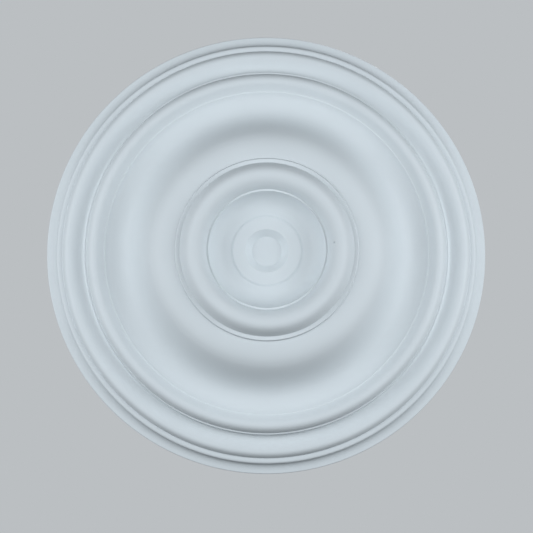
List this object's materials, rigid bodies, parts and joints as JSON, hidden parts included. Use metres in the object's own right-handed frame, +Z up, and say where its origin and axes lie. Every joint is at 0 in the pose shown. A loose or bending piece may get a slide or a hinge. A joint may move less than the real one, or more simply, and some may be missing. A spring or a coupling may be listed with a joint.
{
  "type": "ceiling rose",
  "caption": "Round plaster ceiling rose with a flat back, stepped outer mouldings, a broad sweep, a raised torus and a recessed centre.",
  "frame": {"origin": "centre of the flat back, where the rose meets the ceiling", "axes": "+Z up, out of the back and into the ceiling; the moulded face looks down, along -Z; the rose is round, so +X and +Y are free"},
  "size_m": [0.6, 0.6, 0.0751],
  "materials": {
    "plaster": "smooth matt cast gypsum plaster, cool white"
  },
  "bodies": {
    "root": {"ceiling_rose": "plaster"}
  },
  "joints": []
}
